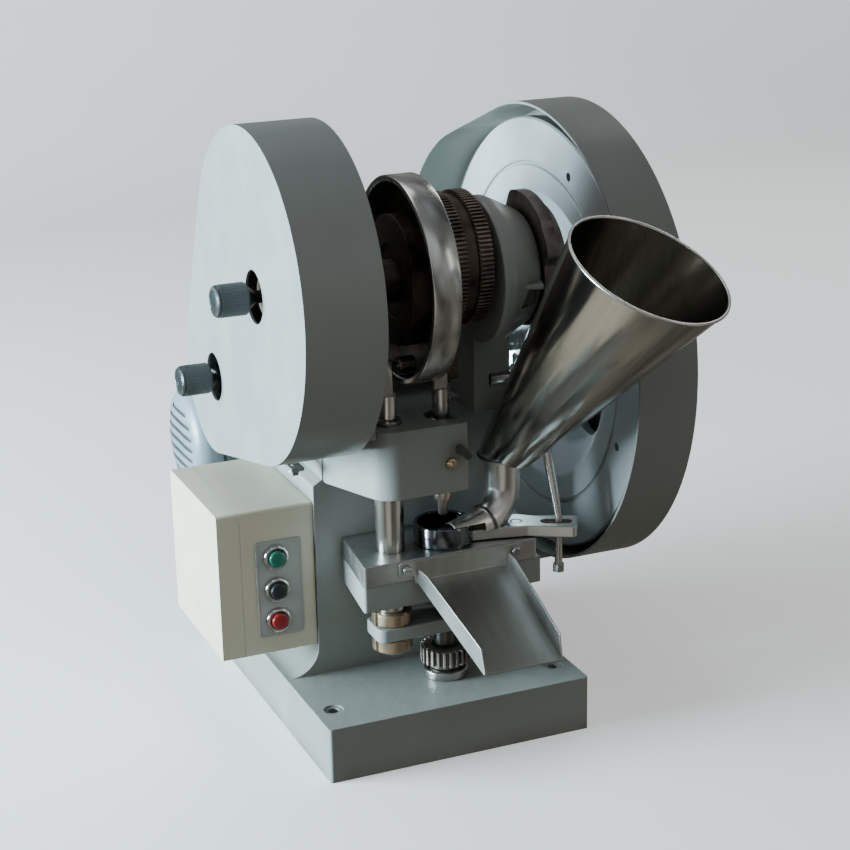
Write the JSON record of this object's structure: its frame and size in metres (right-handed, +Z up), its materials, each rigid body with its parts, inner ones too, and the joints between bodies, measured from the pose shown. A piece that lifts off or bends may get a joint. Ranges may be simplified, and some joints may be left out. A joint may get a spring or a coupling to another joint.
{
  "type": "tablet press",
  "caption": "Bench tablet press: cast frame with punch and die, covered gear drive, flywheel in a guard, swinging hopper and feed shoe, discharge chute and button box.",
  "frame": {"origin": "on the floor, under the main shaft and the punch, midway across the base", "axes": "+Z up, +X to the operator's right along the shafts, +Y to the back"},
  "size_m": [0.4458, 0.7528, 0.6184],
  "materials": {
    "grey_casting": "grey paint over a casting",
    "cover_paint": "smooth pale blue-grey paint",
    "guard_paint": "satin dark grey-green paint",
    "motor_paint": "satin blue-grey paint",
    "cream_paint": "cream powder coat",
    "panel_grey": "matt grey overlay",
    "stainless": "polished sheet",
    "machined_steel": "turned and ground",
    "dark_steel": "oiled dark steel",
    "gear_steel": "greased steel with a rust-brown film",
    "aluminium": "machined",
    "bronze": "turned bronze",
    "chrome": "bright chrome",
    "black_plastic": "moulded black",
    "green_plastic": "moulded dark green",
    "red_plastic": "moulded red",
    "belt_rubber": "worn black rubber"
  },
  "bodies": {
    "frame": {"frame_casting": "grey_casting", "die_table_plate": "machined_steel", "die": "dark_steel", "chute": "stainless", "chute_screw_left": "machined_steel", "chute_screw_right": "machined_steel", "gear_cover": "cover_paint", "belt_guard": "guard_paint", "guard_bracket": "grey_casting", "main_bush_left": "bronze", "main_bush_right": "bronze", "drive_bush_left": "bronze", "drive_bush_right": "bronze", "fill_collar": "machined_steel", "feeder_pivot": "machined_steel", "lever_pin": "machined_steel", "motor": "motor_paint", "fan_cover": "motor_paint", "terminal_box": "motor_paint", "motor_bracket": "grey_casting", "v_belt": "belt_rubber", "control_box": "cream_paint", "control_box_lid": "cream_paint", "control_panel": "panel_grey", "start_bezel": "chrome", "jog_bezel": "chrome", "stop_bezel": "chrome", "oil_nipple": "bronze"},
    "drive": {"drive_shaft": "machined_steel", "pinion": "gear_steel", "flywheel": "machined_steel"},
    "main": {"main_shaft": "machined_steel", "large_gear": "gear_steel", "eject_cam": "machined_steel", "toothed_ring_left": "gear_steel", "toothed_ring_right": "gear_steel", "feeder_cam": "gear_steel"},
    "motor_rotor": {"motor_axle": "machined_steel", "motor_pulley": "dark_steel"},
    "main_cup": {"main_grease_cup": "black_plastic"},
    "drive_cup": {"drive_grease_cup": "black_plastic"},
    "punch": {"punch_slide": "machined_steel", "eccentric_strap": "dark_steel", "upper_punch": "machined_steel"},
    "lift": {"lifting_rod": "machined_steel", "lifting_fork": "grey_casting", "lift_nut_upper": "bronze", "lift_nut_lower": "bronze", "lower_punch": "dark_steel"},
    "roller": {"lift_roller": "machined_steel"},
    "fill": {"fill_gear": "gear_steel"},
    "feeder": {"feeder_arm": "aluminium", "feed_shoe": "stainless", "feeder_elbow": "stainless", "hopper": "stainless"},
    "lever": {"feeder_lever": "machined_steel"},
    "start": {"start_button": "green_plastic"},
    "jog": {"jog_button": "black_plastic"},
    "stop": {"stop_button": "red_plastic"},
    "wing": {"wing_screw": "machined_steel"}
  },
  "joints": [
    {"name": "drive_spin", "type": "hinge", "parent": "frame", "child": "drive", "pos_m": [0, 0.14, 0.35286], "axis": [1, 0, 0], "continuous": true},
    {"name": "main_spin", "type": "hinge", "parent": "frame", "child": "main", "pos_m": [0, 0, 0.466], "axis": [1, 0, 0], "continuous": true},
    {"name": "motor_spin", "type": "hinge", "parent": "frame", "child": "motor_rotor", "pos_m": [0.2, 0.387, 0.208], "axis": [1, 0, 0], "continuous": true},
    {"name": "main_cup_turn", "type": "hinge", "parent": "main", "child": "main_cup", "pos_m": [-0.18, 0, 0.466], "axis": [1, 0, 0], "continuous": true},
    {"name": "drive_cup_turn", "type": "hinge", "parent": "drive", "child": "drive_cup", "pos_m": [-0.18, 0.14, 0.35286], "axis": [1, 0, 0], "continuous": true},
    {"name": "punch_slide_move", "type": "slide", "parent": "frame", "child": "punch", "axis": [0, 0, -1], "range_m": [0, 0.03]},
    {"name": "lift_move", "type": "slide", "parent": "frame", "child": "lift", "axis": [0, 0, -1], "range_m": [-0.0105, 0]},
    {"name": "roller_spin", "type": "hinge", "parent": "lift", "child": "roller", "pos_m": [-0.022, 0, 0.3835], "axis": [1, 0, 0], "continuous": true},
    {"name": "fill_turn", "type": "hinge", "parent": "frame", "child": "fill", "pos_m": [0.0135, 0, 0.08], "axis": [0, 0, 1], "continuous": true},
    {"name": "feeder_swing", "type": "hinge", "parent": "frame", "child": "feeder", "pos_m": [0.086, -0.0135, 0.205], "axis": [0, 0, 1], "range_deg": [-14, 0]},
    {"name": "lever_swing", "type": "hinge", "parent": "frame", "child": "lever", "pos_m": [0.112, 0.014, 0.352], "axis": [1, 0, 0], "range_deg": [-6, 0]},
    {"name": "start_press", "type": "slide", "parent": "frame", "child": "start", "axis": [0, 1, 0], "range_m": [0, 0.004], "stiffness_N_per_m": 400, "springref_m": -0.001},
    {"name": "jog_press", "type": "slide", "parent": "frame", "child": "jog", "axis": [0, 1, 0], "range_m": [0, 0.004], "stiffness_N_per_m": 400, "springref_m": -0.001},
    {"name": "stop_press", "type": "slide", "parent": "frame", "child": "stop", "axis": [0, 1, 0], "range_m": [0, 0.004], "stiffness_N_per_m": 400, "springref_m": -0.001},
    {"name": "wing_turn", "type": "hinge", "parent": "frame", "child": "wing", "pos_m": [0.0185, -0.033, 0.302], "axis": [0, 1, 0], "continuous": true}
  ],
  "couplings": [
    {"joint": "main_spin", "follows": "drive_spin", "ratio": -0.45161},
    {"joint": "motor_spin", "follows": "drive_spin", "ratio": 6.7},
    {"joint": "lever_swing", "follows": "feeder_swing", "ratio": 0.4}
  ]
}
